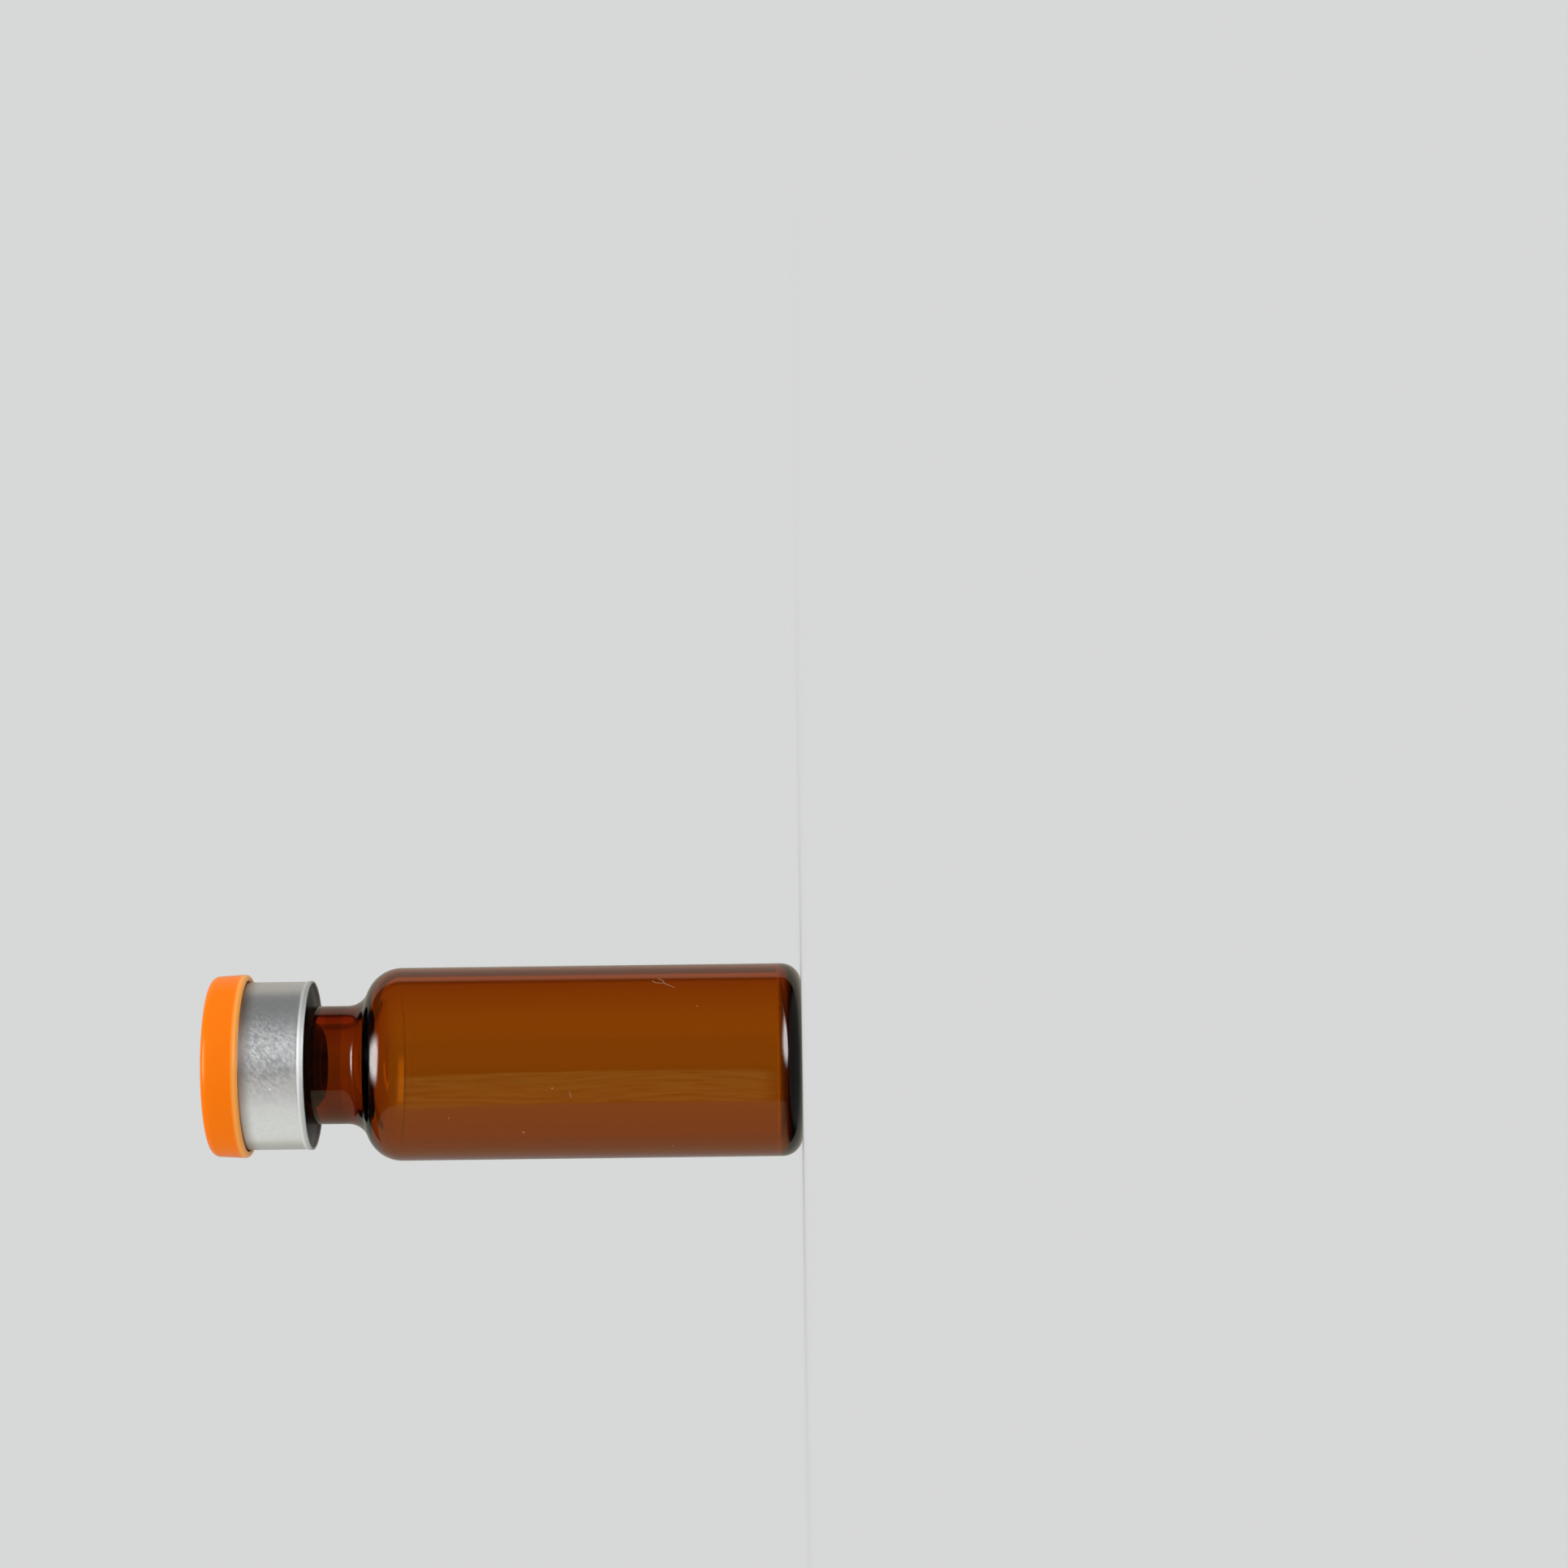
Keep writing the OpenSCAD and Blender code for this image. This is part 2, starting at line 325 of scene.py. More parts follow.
def glass_outline():
    """The glass, from the middle of its foot up its outside, over the mouth and down its inside."""
    foot = arc((0, DOME_Z), DOME_R, 90, math.degrees(math.acos(RING_R / DOME_R)))
    heel = arc((BODY_R - HEEL_R, HEEL_R), HEEL_R, -90, 0)
    edge_r = FLANGE_R - FLANGE_EDGE_R
    under_z = FLANGE_Z + FLANGE_SLOPE + FLANGE_EDGE_R
    flange = (
        [(NECK_R, FLANGE_Z - FLANGE_EDGE_R)]
        + arc((NECK_R + FLANGE_EDGE_R, FLANGE_Z - FLANGE_EDGE_R), FLANGE_EDGE_R, 180, 90)
        + arc((edge_r, under_z), FLANGE_EDGE_R, -90, 0)
        + arc((edge_r, VIAL_H - FLANGE_EDGE_R), FLANGE_EDGE_R, 0, 90)
        + arc((BORE_R + LIP_R, VIAL_H - LIP_R), LIP_R, 90, 180)
    )
    outer = shoulder_curve(BODY_R, SHOULDER_R, NECK_R, NECK_FILLET_R)
    inner = shoulder_curve(INNER_R, SHOULDER_R - BODY_WALL, BORE_R, INNER_NECK_FILLET_R)
    corner_r = INNER_R - INNER_HEEL_R
    reach = DOME_R + BASE_T + INNER_HEEL_R
    corner = (corner_r, DOME_Z + math.sqrt(reach**2 - corner_r**2))
    lean = math.degrees(math.acos(corner_r / reach))
    floor = arc(corner, INNER_HEEL_R, 360, 180 + lean)
    floor += arc((0, DOME_Z), DOME_R + BASE_T, lean, 90)
    return foot + heel + outer + flange + inner[::-1] + floor


def stopper_outline():
    """The stopper, from the hollow in its plug up its outside to the recess in its top."""
    tip_z = VIAL_H - PLUG_L
    hollow_z = tip_z + PLUG_HOLLOW_L
    plug_r = BORE_R - PLUG_CLEAR
    tip_r = plug_r - PLUG_TAPER
    edge, root = STOPPER_EDGE_R, STOPPER_ROOT_R
    return (
        [(0, hollow_z)]
        + arc((PLUG_HOLLOW_R - root, hollow_z - root), root, 90, 0)
        + arc((PLUG_HOLLOW_R + edge, tip_z + edge), edge, 180, 270)
        + arc((tip_r - PLUG_TIP_R, tip_z + PLUG_TIP_R), PLUG_TIP_R, -90, 0)
        + [(plug_r, tip_z + PLUG_TAPER_L), (plug_r, VIAL_H)]
        + arc((STOPPER_R - edge, VIAL_H + edge), edge, -90, 0)
        + arc((STOPPER_R - edge, STOPPER_TOP_Z - edge), edge, 0, 90)
        + [(TARGET_R, STOPPER_TOP_Z)]
        + arc((TARGET_R - root, TARGET_Z + root), root, 0, -90)
        + [(0, TARGET_Z)]
    )


def button_outline():
    """The button, from its rivet's head up the rivet, round the skirt and over the top."""
    side_h = BUTTON_TOP_Z - BUTTON_EDGE_R - BUTTON_RIM_Z - BUTTON_LIP_R
    upper_r = BUTTON_R - side_h * math.tan(BUTTON_DRAFT)
    lip, outer_lip, edge = BUTTON_LIP_R, BUTTON_OUTER_LIP_R, BUTTON_EDGE_R
    return (
        [
            (0, RIVET_HEAD_Z),
            (RIVET_R + RIVET_HEAD_W / 2, RIVET_HEAD_Z),
            (RIVET_HEAD_R, STOPPER_TOP_Z),
            (RIVET_R, STOPPER_TOP_Z),
            (RIVET_R, SHELL_TOP_Z),
            (BUTTON_INNER_R, SHELL_TOP_Z),
        ]
        + arc((BUTTON_INNER_R + lip, BUTTON_RIM_Z + lip), lip, 180, 270)
        + arc((BUTTON_R - outer_lip, BUTTON_RIM_Z + outer_lip), outer_lip, -90, 0)
        + arc((upper_r - edge, BUTTON_TOP_Z - edge), edge, 0, 90)
        + [(0, BUTTON_TOP_Z)]
    )


def shell_outline():
    """The shell's sheet, from its hole out and down the inside, round the rim and back outside."""
    hole_r = RIVET_R + RIVET_CLEAR
    inner_bend = SHELL_BEND_R - SHEET_T
    lip = SHEET_T / 2
    slot = (TEAR_RING_R - TEAR_SLOT_W / 2, TEAR_RING_R + TEAR_SLOT_W / 2)
    return (
        [(hole_r, STOPPER_TOP_Z), (slot[0], STOPPER_TOP_Z), (slot[1], STOPPER_TOP_Z)]
        + arc((SHELL_INNER_R - inner_bend, STOPPER_TOP_Z - inner_bend), inner_bend, 90, 0)
        + [(SHELL_INNER_R, RIM_TOP_Z), (SHELL_INNER_R + RIM_FLARE, RIM_Z + RIM_BEND)]
        + arc((SHELL_INNER_R + RIM_FLARE + lip, RIM_Z + lip), lip, 180, 360)
        + [(SHELL_R + RIM_FLARE, RIM_Z + RIM_BEND), (SHELL_R, RIM_TOP_Z)]
        + arc((SHELL_R - SHELL_BEND_R, SHELL_TOP_Z - SHELL_BEND_R), SHELL_BEND_R, 0, 90)
        + [(slot[1], SHELL_TOP_Z), (slot[0], SHELL_TOP_Z), (hole_r, SHELL_TOP_Z)]
    )


def ring_points(points):
    """The points, each turned a full turn round the Z axis."""
    turned = []
    for r, z in points:
        for j in range(TURN_STEPS):
            t = 2 * math.pi * j / TURN_STEPS
            turned.append((r * math.cos(t), r * math.sin(t), z))
    return turned


def lathe(name, outline):
    """A closed mesh: an outline that starts and ends on the Z axis, turned round it."""
    points = held(distinct(outline))
    rings = points[1:-1]
    verts = [(0, 0, points[0][1]), (0, 0, points[-1][1])] + ring_points(rings)

    def at(i, j):
        return 2 + i * TURN_STEPS + j % TURN_STEPS

    faces = []
    last = len(rings) - 1
    for j in range(TURN_STEPS):
        faces.append((0, at(0, j + 1), at(0, j)))
        for i in range(last):
            faces.append((at(i, j), at(i, j + 1), at(i + 1, j + 1), at(i + 1, j)))
        faces.append((at(last, j), at(last, j + 1), 1))
    return mesh_object(name, verts, faces)


def slotted_lathe(name, outline):
    """The shell's mesh: an outline that closes on itself, turned, with the tear slots in its top."""
    points = held(distinct(outline))
    count = len(points)
    verts = ring_points(points)
    below = points.index((TEAR_RING_R - TEAR_SLOT_W / 2, STOPPER_TOP_Z))
    above = points.index((TEAR_RING_R - TEAR_SLOT_W / 2, SHELL_TOP_Z))
    low = (below, below + 1)
    high = (above, above - 1)
    step = 360 // BRIDGES
    half = BRIDGE_ANGLE // 2
    per_sector = 360 // TURN_STEPS

    def at(i, j):
        return (i % count) * TURN_STEPS + j % TURN_STEPS

    def in_slot(j):
        turn = (j % TURN_STEPS) * per_sector % step
        return half <= turn < step - half

    faces = []
    for j in range(TURN_STEPS):
        open_here = in_slot(j)
        for i in range(count):
            if open_here and i in (low[0], high[1]):
                continue
            faces.append((at(i, j), at(i, j + 1), at(i + 1, j + 1), at(i + 1, j)))
        if open_here:
            faces.append((at(low[0], j), at(low[0], j + 1), at(high[0], j + 1), at(high[0], j)))
            faces.append((at(high[1], j), at(high[1], j + 1), at(low[1], j + 1), at(low[1], j)))
        if open_here != in_slot(j - 1):
            end = (at(low[0], j), at(high[0], j), at(high[1], j), at(low[1], j))
            faces.append(end if open_here else end[::-1])
    return mesh_object(name, verts, faces)


def new_object(name, data):
    """An object with that data, added to the scene."""
    obj = bpy.data.objects.new(name, data)
    bpy.context.scene.collection.objects.link(obj)
    return obj


def mesh_object(name, verts, faces):
    """An object that is shaded smooth, but sharp at its corners."""
    mesh = bpy.data.meshes.new(name)
    mesh.from_pydata(verts, [], faces)
    mesh.update()
    mesh.shade_smooth()
    mark_sharp(mesh)
    return new_object(name, mesh)


def mark_sharp(mesh):
    """Marks the edges at corners, so that the smooth shading stops there."""
    sides = {}
    for face in mesh.polygons:
        for key in face.edge_keys:
            sides.setdefault(key, []).append(face.normal)
    sharp = mesh.attributes.new("sharp_edge", "BOOLEAN", "EDGE")
    for edge in mesh.edges:
        normals = sides[edge.key]
        sharp.data[edge.index].value = len(normals) == 2 and normals[0].angle(normals[1]) > SHARP


# Materials


class Nodes:
    """Short calls for the nodes used here, in one node tree."""

    def __init__(self, tree):
        self.tree = tree
        tree.nodes.clear()

    def add(self, kind, **values):
        node = self.tree.nodes.new(kind)
        for name, value in values.items():
            setattr(node, name, value)
        return node

    def link(self, source, target):
        self.tree.links.new(source, target)

    def put(self, value, target):
        """Links a socket, or sets a plain value."""
        if isinstance(value, bpy.types.NodeSocket):
            self.link(value, target)
        else:
            target.default_value = value

    def math(self, operation, a, b=0.0):
        node = self.add("ShaderNodeMath", operation=operation)
        self.put(a, node.inputs[0])
        self.put(b, node.inputs[1])
        return node.outputs[0]

    def plus(self, a, b):
        return self.math("ADD", a, b)

    def minus(self, a, b):
        return self.math("SUBTRACT", a, b)

    def times(self, a, b):
        return self.math("MULTIPLY", a, b)

    def step(self, value, low, high):
        """Rises smoothly from 0 to 1 while the value goes from low to high."""
        node = self.add("ShaderNodeMapRange", interpolation_type="SMOOTHSTEP")
        self.put(value, node.inputs["Value"])
        node.inputs["From Min"].default_value = low
        node.inputs["From Max"].default_value = high
        return node.outputs[0]

    def fall(self, value, low, high):
        """Falls smoothly from 1 to 0 while the value goes from low to high."""
        return self.minus(1.0, self.step(value, low, high))

    def band(self, value, rise, fall):
        """Rises from 0 to 1 over one range of the value and falls back over the other."""
        return self.times(self.step(value, *rise), self.fall(value, *fall))

    def ranged(self, value, low, high, from_low=0.0, from_high=1.0):
        node = self.add("ShaderNodeMapRange")
        self.put(value, node.inputs["Value"])
        node.inputs["From Min"].default_value = from_low
        node.inputs["From Max"].default_value = from_high
        node.inputs["To Min"].default_value = low
        node.inputs["To Max"].default_value = high
        return node.outputs[0]

    def mix(self, factor, a, b):
        """A colour between a and b. The node's colour sockets are inputs 6 and 7 and output 2."""
        node = self.add("ShaderNodeMix", data_type="RGBA")
        self.put(factor, node.inputs[0])
        self.put(a, node.inputs[6])
        self.put(b, node.inputs[7])
        return node.outputs[2]

    def coords(self, kind="Object"):
        return self.add("ShaderNodeTexCoord").outputs[kind]

    def split(self, vector):
        node = self.add("ShaderNodeSeparateXYZ")
        self.link(vector, node.inputs[0])
        return tuple(node.outputs)

    def joined(self, x, y=0.0):
        node = self.add("ShaderNodeCombineXYZ")
        self.put(x, node.inputs[0])
        self.put(y, node.inputs[1])
        return node.outputs[0]

    def distance(self, point):
        """How far the surface is from a point, in object coordinates."""
        node = self.add("ShaderNodeVectorMath", operation="DISTANCE")
        self.link(self.coords(), node.inputs[0])
        node.inputs[1].default_value = point
        return node.outputs["Value"]

    def place(self, stretch=(1, 1, 1), turn=(0, 0, 0)):
        """Object coordinates, turned and then stretched."""
        mapping = self.add("ShaderNodeMapping")
        mapping.inputs["Rotation"].default_value = turn
        self.link(self.coords(), mapping.inputs["Vector"])
        scaled = self.add("ShaderNodeVectorMath", operation="MULTIPLY")
        self.link(mapping.outputs[0], scaled.inputs[0])
        scaled.inputs[1].default_value = stretch
        return scaled.outputs[0]

    def noise(self, where, scale, detail=2.0, roughness=0.5):
        node = self.add("ShaderNodeTexNoise")
        node.inputs["Scale"].default_value = scale
        node.inputs["Detail"].default_value = detail
        node.inputs["Roughness"].default_value = roughness
        self.link(where, node.inputs["Vector"])
        return node.outputs["Fac"]

    def bump(self, height, strength, distance):
        node = self.add("ShaderNodeBump")
        node.inputs["Strength"].default_value = strength
        node.inputs["Distance"].default_value = distance
        self.link(height, node.inputs["Height"])
        return node.outputs[0]

    def background(self, colour, strength=1.0):
        node = self.add("ShaderNodeBackground")
        self.put(colour, node.inputs["Color"])
        self.put(strength, node.inputs["Strength"])
        return node.outputs[0]

    def choose(self, factor, a, b):
        """The shader a where the factor is 0, and b where it is 1."""
        node = self.add("ShaderNodeMixShader")
        self.link(factor, node.inputs[0])
        self.link(a, node.inputs[1])
        self.link(b, node.inputs[2])
        return node.outputs[0]


class Surface(Nodes):
    """The nodes of a new material that has one Principled shader.

    A plain value stays on its socket, for a simple viewer, also where a node feeds that socket later.
    """

    def __init__(self, name, **inputs):
        self.material = bpy.data.materials.new(name)
        self.material.use_nodes = True
        super().__init__(self.material.node_tree)
        self.shader = self.add("ShaderNodeBsdfPrincipled")
        for key, value in inputs.items():
            self.shader.inputs[key.replace("_", " ")].default_value = value
        self.out = self.add("ShaderNodeOutputMaterial")
        self.link(self.shader.outputs[0], self.out.inputs["Surface"])

    def feed(self, key, value):
        """Links a value to the shader."""
        self.link(value, self.shader.inputs[key])


def amber_glass():
    n = Surface("amber_glass", Base_Color=WHITE, Roughness=0.0, IOR=1.5, Transmission_Weight=1.0)
    volume = n.add("ShaderNodeVolumeAbsorption")
    volume.inputs["Color"].default_value = AMBER
    volume.inputs["Density"].default_value = AMBER_DENSITY
    n.link(volume.outputs[0], n.out.inputs["Volume"])
    # Drawn tubing is very slightly wavy along its length
    waves = n.noise(n.place(stretch=(1, 1, 0.08)), scale=900, detail=1.0)
    n.feed("Normal", n.bump(waves, strength=0.05, distance=0.02 * MM))
    return n.material


def satin_aluminium():
    n = Surface("satin_aluminium", Base_Color=SHEET, Metallic=0.8, Roughness=0.42)
    height = n.split(n.coords())[2]
    rim = n.fall(height, *RIM_BAND)

    # Handling has left the sheet mottled, most of all at the front
    worn = n.fall(n.distance(WORN_AT), *WEAR_ENDS)
    blotches = n.noise(n.place((0.6, 1, 1), SCRATCH_TURN), scale=3400, detail=4.0, roughness=0.62)
    mottle = n.minus(n.step(blotches, low=0.3, high=0.7), 0.5)
    patch = n.times(mottle, n.ranged(worn, *MOTTLE_DEPTH))

    # Fine scratches across it
    lines = n.noise(n.place((0.06, 1, 1), SCRATCH_TURN), scale=7000, detail=1.0)
    scratch = n.times(n.step(lines, low=0.66, high=0.72), n.times(worn, SCRATCH_DEPTH))

    # The rim's band is paler, a painted highlight, and the cut edge below it is darker, a painted dark
    # reflection. A band below the button's lip is darker, painted shade
    tone = n.mix(n.ranged(patch, 0.0, 1.0, *MOTTLE_SWING), SHEET_DARK, SHEET_PALE)
    tone = n.mix(scratch, tone, SHEET_SCRATCH)
    tone = n.mix(rim, tone, SHEET_RIM_HIGHLIGHT)
    tone = n.mix(n.fall(height, *CUT_REFLECTION_BAND), tone, SHEET_CUT_DARK_REFLECTION)
    tone = n.mix(n.step(height, *PAINTED_SHADE_BAND), tone, PAINTED_SHADE)
    n.feed("Base Color", tone)

    rough = n.ranged(patch, *SHEET_ROUGH, *MOTTLE_SWING)
    n.feed("Roughness", n.plus(rough, n.times(rim, RIM_ROUGHER)))
    rolled = n.noise(n.place(stretch=(1, 1, 5)), scale=5000, detail=2.0)
    n.feed("Normal", n.bump(rolled, strength=0.15, distance=0.006 * MM))
    return n.material


def orange_plastic():
    n = Surface(
        "orange_plastic",
        Base_Color=ORANGE,
        Roughness=0.2,
        IOR=1.45,
        Specular_IOR_Level=0.17,
    )
    tone = n.mix(n.noise(n.place(), scale=300, detail=2.0), ORANGE_DARK, ORANGE_PALE)
    # A paler band on the lip is a painted highlight along its rounded edge
    lip = n.fall(n.split(n.coords())[2], *LIP_HIGHLIGHT_BAND)
    n.feed("Base Color", n.mix(lip, tone, ORANGE_LIP_HIGHLIGHT))
    skin = n.noise(n.place(), scale=4000, detail=2.0)
    n.feed("Normal", n.bump(skin, strength=0.08, distance=0.01 * MM))
    return n.material


def dark_rubber():
    n = Surface("dark_rubber", Base_Color=RUBBER, Roughness=0.6, IOR=1.5)
    skin = n.noise(n.place(), scale=3000, detail=3.0)
    n.feed("Roughness", n.ranged(skin, low=0.5, high=0.7))
    n.feed("Normal", n.bump(skin, strength=0.2, distance=0.02 * MM))
    return n.material


def dust(name, dark, light):
    n = Surface(name, Base_Color=light, Roughness=0.95)
    n.feed("Base Color", n.mix(n.noise(n.place(), scale=8000, detail=2.0), dark, light))
    return n.material


# Pieces


def dress(piece, material, body, node):
    """Gives a piece its material, and tells the frame what it rides on and stands for."""
    piece.data.materials.append(material)
    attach(piece, body)
    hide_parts(node)


def on_front(height, across, r):
    """The place on the front of an upright cylinder, and the way out of it there.

    Height and across are in millimetres.
    """
    place = Vector((across * MM, -math.sqrt(r**2 - (across * MM) ** 2), height * MM))
    return place, Vector((place.x, place.y, 0)).normalized()


def skin_faces(base, rings, first, end):
    """Faces over rings of points, which start at base, closed by the points first and end."""
    faces = []
    last = base + (rings - 1) * GRAIN_SIDES
    for j in range(GRAIN_SIDES):
        k = (j + 1) % GRAIN_SIDES
        faces.append((first, base + j, base + k))
        faces.append((end, last + k, last + j))
        for i in range(rings - 1):
            a = base + i * GRAIN_SIDES
            faces.append((a + j, a + GRAIN_SIDES + j, a + GRAIN_SIDES + k, a + k))
    return faces


def grain(height, across, half, r, verts, faces):
    """Adds an uneven grain, sunk a little into the surface that it lies on."""
    place, out = on_front(height, across, r)
    up = Vector((0, 0, 1))
    side = out.cross(up)
    base = len(verts)
    size = half * MM
    centre = place + out * size * GRAIN_OUT
    for i in range(1, GRAIN_RINGS):
        tilt = math.pi * i / GRAIN_RINGS
        for j in range(GRAIN_SIDES):
            turn = 2 * math.pi * j / GRAIN_SIDES
            far = size * (1 + GRAIN_UNEVEN * math.sin(3 * turn + 2 * tilt + height))
            above = out * far * GRAIN_THICK * math.cos(tilt)
            around = side * math.cos(turn) + up * math.sin(turn)
            verts.append(centre + above + around * far * math.sin(tilt))
    verts.append(centre + out * size * GRAIN_THICK)
    verts.append(centre - out * size * GRAIN_THICK)
    faces += skin_faces(base, GRAIN_RINGS - 1, len(verts) - 2, len(verts) - 1)


def strand(bends, r, verts, faces):
    """Adds a thin round strand that lies on the surface and ends in points."""
    places = []
    for i in range((len(bends) - 1) * STRAND_STEPS + 1):
        k, share = divmod(i / STRAND_STEPS, 1)
        k = int(k)
        bend = between(bends[k], bends[min(k + 1, len(bends) - 1)], share)
        places.append(on_front(bend[0], bend[1], r))
    base = len(verts)
    for i, (place, out) in enumerate(places[1:-1], 1):
        along = (places[i + 1][0] - places[i - 1][0]).normalized()
        side = out.cross(along)
        centre = place + out * LINT_OUT
        for j in range(GRAIN_SIDES):
            turn = 2 * math.pi * j / GRAIN_SIDES
            verts.append(centre + (out * math.cos(turn) + side * math.sin(turn)) * LINT_R)
    verts.append(places[0][0])
    verts.append(places[-1][0])
    # The points of a strand run the other way round than a grain's, so its faces do too
    turned = skin_faces(base, len(places) - 2, len(verts) - 2, len(verts) - 1)
    faces += [face[:1] + face[:0:-1] for face in turned]


def make_dust():
    verts, faces = [], []
    for height, across, half in GLASS_GRAINS:
        grain(height, across, half, BODY_R, verts, faces)
    for bends in (HAIR, LOOP, FIBRE):
        strand(bends, BODY_R, verts, faces)
    on_glass = mesh_object("dust_on_glass", verts, faces)
    on_glass.data.materials.append(dust("brown_dust", *BROWN_DUST))
    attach(on_glass, "vial")
    verts, faces = [], []
    for height, across, half in SHELL_GRAINS:
        grain(height, across, half, SHELL_R, verts, faces)
    on_shell = mesh_object("dust_on_shell", verts, faces)
    on_shell.data.materials.append(dust("white_dust", *WHITE_DUST))
    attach(on_shell, "closure")


def make_pieces():
    """Makes the four pieces and gives back the shell, which the card lights."""
    glass = lathe("vial_glass", glass_outline())
    dress(glass, amber_glass(), "vial", "glass_vial")
    stopper = lathe("stopper_rubber", stopper_outline())
    dress(stopper, dark_rubber(), "closure", "rubber_stopper")
    shell = slotted_lathe("shell_sheet", shell_outline())
    dress(shell, satin_aluminium(), "closure", "aluminium_shell")
    button = lathe("button_plastic", button_outline())
    dress(button, orange_plastic(), "closure", "flip_off_button")
    return shell


# Stage


def make_camera():
    data = bpy.data.cameras.new("camera")
    data.sensor_width = SENSOR_MM
    data.lens = SENSOR_MM * FOCAL_PX / PHOTO_W
    data.clip_start = CLIP_NEAR
    data.clip_end = CLIP_FAR
    camera = new_object("camera", data)
    right = Vector((math.sin(CAMERA_ROLL), 0, -math.cos(CAMERA_ROLL)))
    up = Vector((math.cos(CAMERA_ROLL), 0, math.sin(CAMERA_ROLL)))
    back = Vector((0, -1, 0))
    turn = Matrix((right, up, back)).transposed()
    camera.matrix_world = Matrix.Translation(CAMERA_AT) @ turn.to_4x4()
    bpy.context.scene.camera = camera


def make_floor():
    """A plain pale floor that runs on to the horizon and takes the object's shadow."""
    size = FLOOR_SIZE / 2
    mesh = bpy.data.meshes.new("floor")
    corners = [(-size, -size, 0), (size, -size, 0), (size, size, 0), (-size, size, 0)]
    mesh.from_pydata(corners, [], [(0, 1, 2, 3)])
    floor = new_object("floor", mesh)
    material = bpy.data.materials.new("floor_paper")
    material.use_nodes = True
    n = Nodes(material.node_tree)
    paper = n.add("ShaderNodeBsdfDiffuse")
    paper.inputs["Color"].default_value = tuple(c / LIGHT for c in PALE[:3]) + (1,)
    out = n.add("ShaderNodeOutputMaterial")
    n.link(paper.outputs[0], out.inputs["Surface"])
    mesh.materials.append(material)
    floor.visible_glossy = False


def lamp(n, way, across_at, half_width, angle, low_reach, high_reach):
    """A round lamp's brightness in a direction. It ends more sharply on its low side."""
    x, y, z = way
    across = n.math("DIVIDE", n.minus(x, across_at), half_width)
    rise = n.minus(n.math("ARCTAN2", z, n.times(y, -1.0)), angle)
    low = n.times(n.math("MINIMUM", rise, 0.0), 1 / low_reach)
    high = n.times(n.math("MAXIMUM", rise, 0.0), 1 / high_reach)
    along = n.plus(low, high)
    far = n.math("SQRT", n.plus(n.times(along, along), n.times(across, across)))
    inside = n.fall(far, LAMP_CORE, 1.0)
    return n.times(inside, n.times(inside, LAMP))


def streaks(n, way):
    """Wavy light low in front, which shows as streaks along the body."""
    x, y, z = way
    level = n.plus(x, n.times(n.math("POWER", n.minus(z, SAG_AT_Z), 2.0), SAG))
    bow = n.times(n.noise(n.joined(z), scale=BOW_FINE, detail=0.0), BOW)
    where = n.joined(n.times(n.plus(level, bow), STREAKS_FINE_X), n.times(z, STREAKS_FINE_Z))
    wave = n.noise(where, scale=1.0, detail=3.0, roughness=0.6)
    shape = n.times(n.band(level, *STREAKS_X), n.band(z, *STREAKS_Z))
    shape = n.times(shape, n.fall(y, *STREAKS_Y))
    return n.times(shape, n.ranged(wave, *STREAKS_VARY))


def gloss_colour(n, way):
    """What gloss shows, apart from the lamps."""
    x, y, z = way
    colour = n.mix(n.fall(z, *BELOW_Z), GLOSS_DARK, GLOSS_BELOW)
    behind = n.mix(n.step(x, *BEHIND_X), BEHIND_LOW_X, BEHIND_HIGH_X)
    colour = n.mix(n.step(y, *BEHIND_Y), colour, behind)
    wall = n.times(n.fall(x, *WALL_X), n.step(z, *WALL_Z))
    colour = n.mix(wall, colour, WALL)
    return n.mix(streaks(n, way), colour, STREAKS)


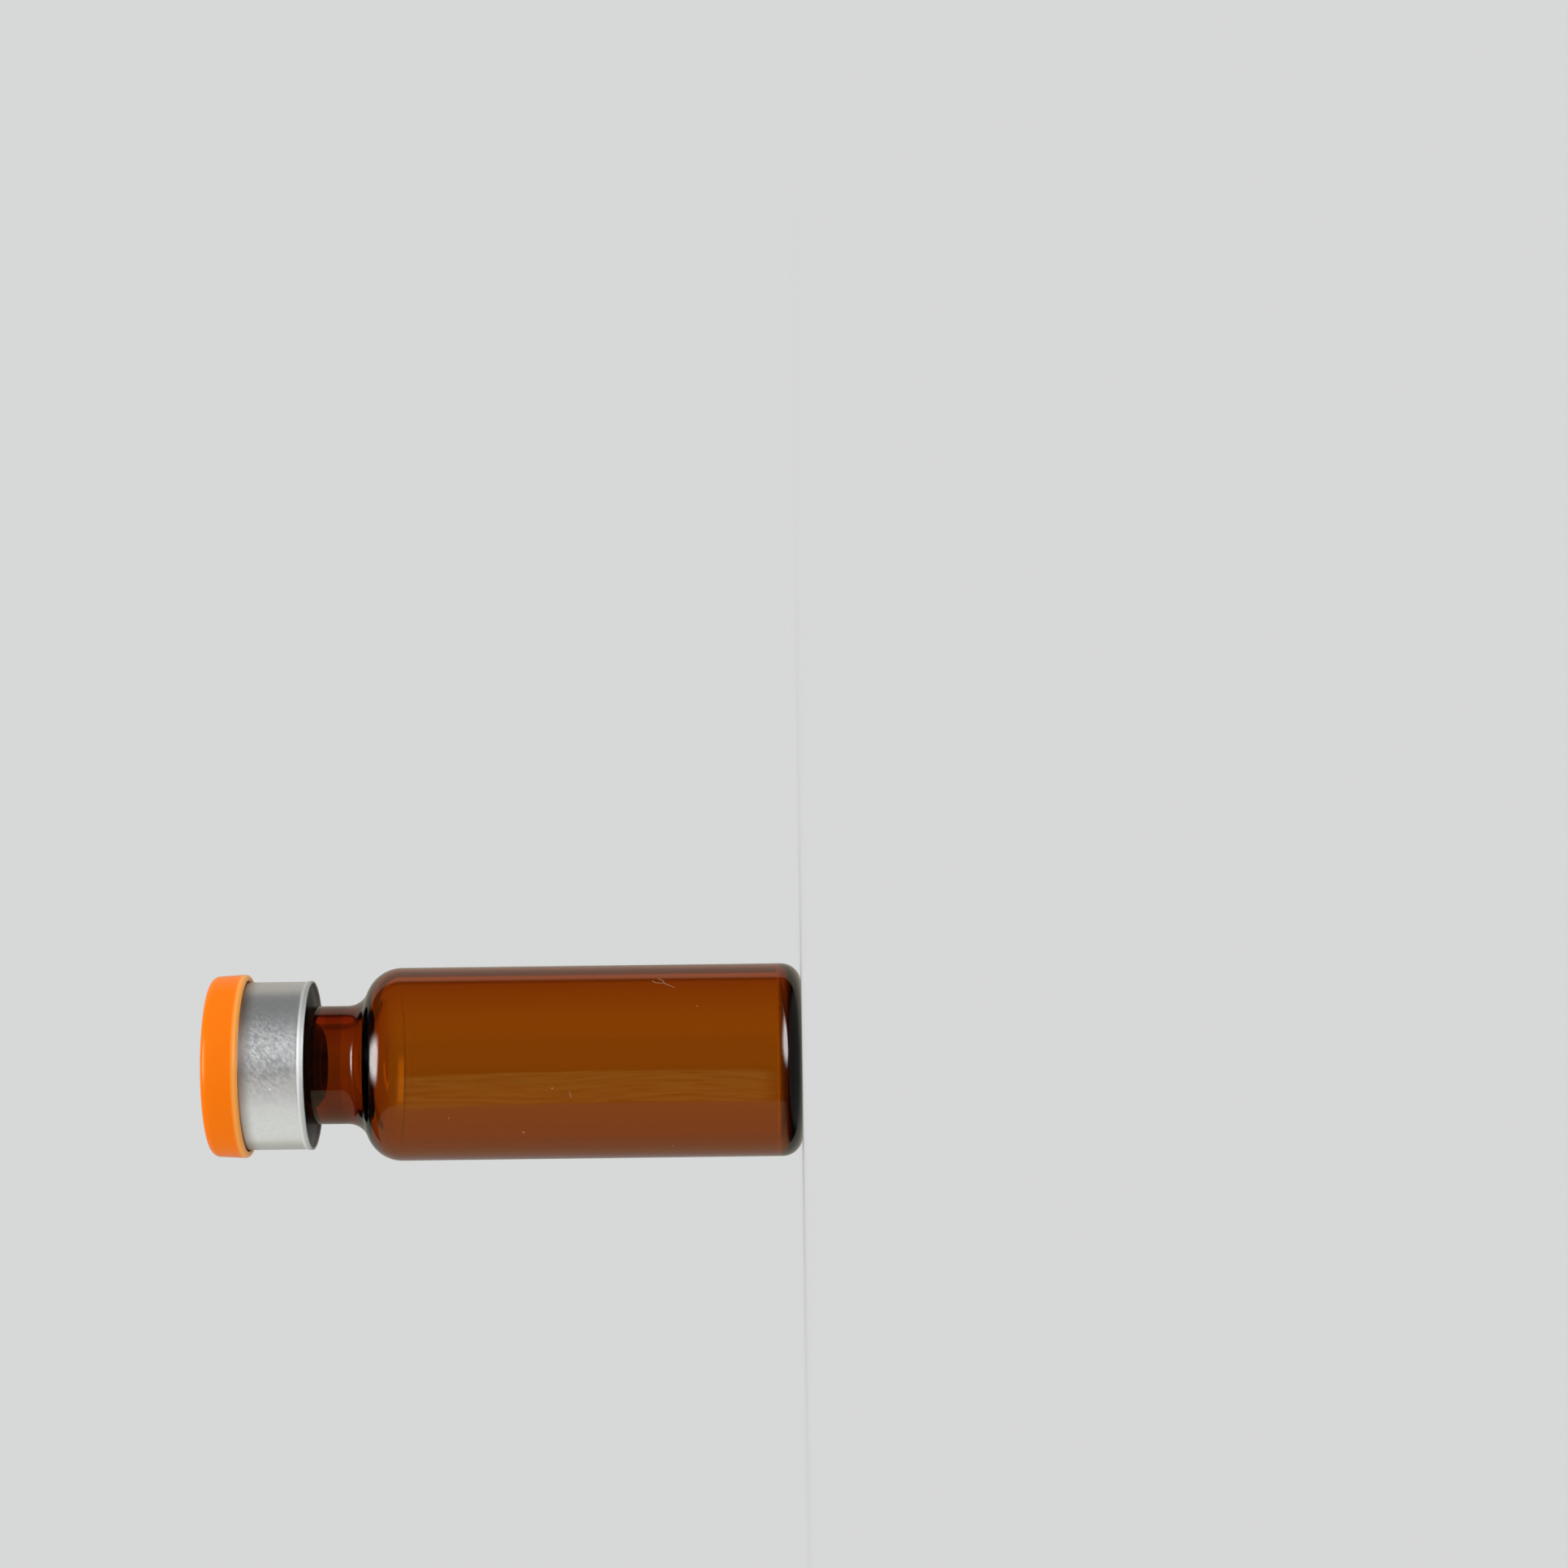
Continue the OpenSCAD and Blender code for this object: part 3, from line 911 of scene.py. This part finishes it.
def through_colour(n, x, z):
    """What shows through the glass."""
    colour = n.mix(n.step(x, *THROUGH_X), THROUGH_LOW_X, THROUGH_HIGH_X)
    colour = n.mix(n.band(x, *SHADE_X), colour, SHADE)
    colour = n.mix(n.step(x, *BRIGHT_X), colour, BRIGHT)
    gap = n.times(n.band(z, *GAP_Z), n.band(x, *GAP_X))
    colour = n.mix(gap, colour, GAP)
    return n.mix(n.times(n.band(z, *DIM_Z), DIM), colour, BLACK)


def make_card(shell):
    """A white card beside the cap, which lights the shell alone and brightens its lower half."""
    data = bpy.data.lights.new("card", "AREA")
    data.shape = "RECTANGLE"
    data.size = CARD_LONG
    data.size_y = CARD_WIDE
    data.energy = CARD * math.pi * CARD_LONG * CARD_WIDE
    data.color = CARD_COLOUR
    card = new_object("card", data)
    card.location = CARD_AT
    card.rotation_euler = (math.radians(90), 0, math.radians(-90))
    card.visible_camera = False
    card.visible_transmission = False
    lit = bpy.data.collections.new("lit_by_card")
    lit.objects.link(shell)
    card.light_linking.receiver_collection = lit


def make_world():
    """A soft studio: even light, lamps that show only as highlights, and a pale background."""
    world = bpy.data.worlds.new("studio")
    world.use_nodes = True
    bpy.context.scene.world = world
    n = Nodes(world.node_tree)
    way = n.split(n.coords("Generated"))
    x, z = way[0], way[2]
    path = n.add("ShaderNodeLightPath").outputs

    lamps = n.plus(lamp(n, way, *SHOULDER_LAMP), lamp(n, way, *HEEL_LAMP))
    glossy = n.add("ShaderNodeAddShader")
    n.link(n.background(gloss_colour(n, way)), glossy.inputs[0])
    n.link(n.background(WHITE, lamps), glossy.inputs[1])
    even = n.background(WHITE, n.plus(LIGHT, n.times(x, SLANT)))
    lit = n.choose(path["Is Glossy Ray"], even, glossy.outputs[0])

    seen = n.background(n.mix(path["Is Camera Ray"], through_colour(n, x, z), PALE))
    straight = n.math("MAXIMUM", path["Is Camera Ray"], path["Is Transmission Ray"])
    whole = n.choose(straight, lit, seen)
    out = n.add("ShaderNodeOutputWorld")
    n.link(whole, out.inputs["Surface"])


make_camera()
make_floor()
make_world()
make_card(make_pieces())
make_dust()
bpy.context.scene.view_settings.view_transform = "Standard"
